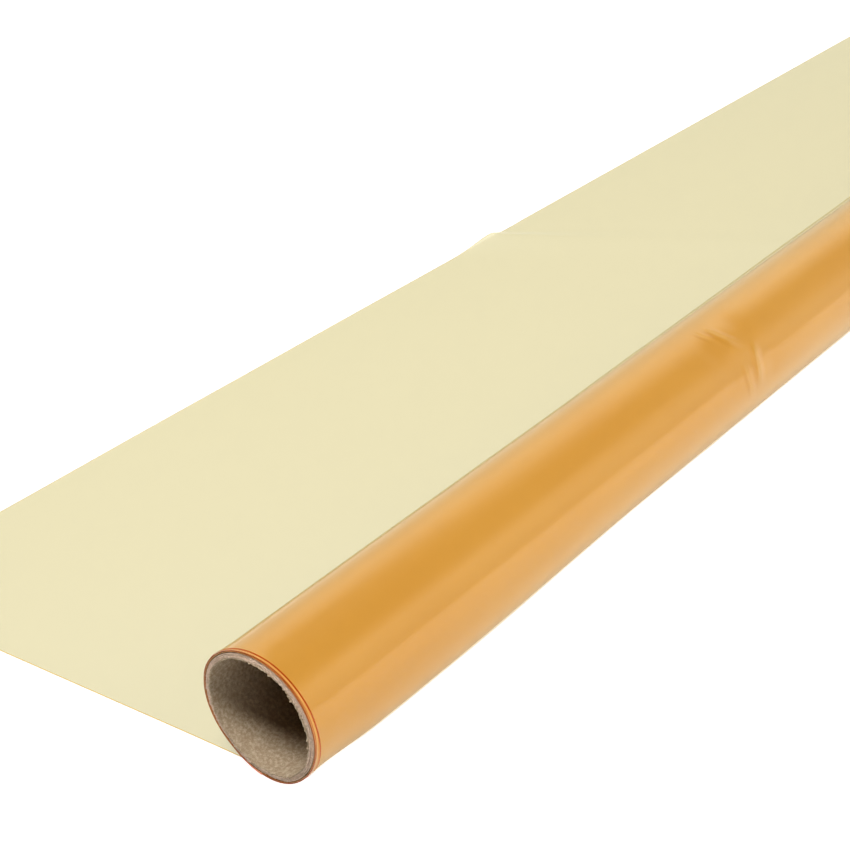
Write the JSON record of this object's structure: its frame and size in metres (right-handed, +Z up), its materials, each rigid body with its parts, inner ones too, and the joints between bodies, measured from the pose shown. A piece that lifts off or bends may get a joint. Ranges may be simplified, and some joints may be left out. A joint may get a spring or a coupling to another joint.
{
  "type": "film roll",
  "caption": "Roll of see-through tinted sign film on a spiral-wound paper core, lying down with a length of the web paid out flat beside it.",
  "frame": {"origin": "middle of the floor under the whole object, roll and paid-out web together", "axes": "+Y along the roll, away from the end where the paid-out web is inset; +X from the paid-out web towards the roll; +Z up"},
  "size_m": [0.3021, 1.2242, 0.0623],
  "materials": {
    "laid_film": "thin clear yellow film, smooth and glossy",
    "outer_film": "the same clear film over the deep amber of the turns below it, glossy",
    "wound_film": "many layers of the clear film, deep amber, with red-orange cut edges",
    "kraft_liner": "brown kraft paper, matt, with a lap seam that winds down the bore",
    "kraft_board": "grey-brown core board, matt, torn fibres on the cut ends",
    "paper_tape": "cream paper tape, satin"
  },
  "bodies": {
    "paid_out_web": {"film_laid_sheet": "laid_film"},
    "loose_turn": {"film_outer_turn": "outer_film"},
    "wound_roll": {"film_wound_turns": "wound_film", "core_liner": "kraft_liner", "core_ply_1": "kraft_board", "core_ply_2": "kraft_board", "core_ply_3": "kraft_board", "start_tape_near": "paper_tape", "start_tape_middle": "paper_tape", "start_tape_far": "paper_tape"}
  },
  "joints": [
    {"name": "roll_travel", "type": "slide", "parent": "paid_out_web", "child": "loose_turn", "axis": [1, 0, 0], "range_m": [-0.17, 0.6], "deforming": ["film_laid_sheet"]},
    {"name": "roll_spin", "type": "hinge", "parent": "loose_turn", "child": "wound_roll", "pos_m": [0.11986, -0.6109, 0.0295], "axis": [0, 1, 0], "continuous": true}
  ],
  "couplings": [
    {"joint": "roll_spin", "follows": "roll_travel", "rad_per_m": 33.898}
  ]
}
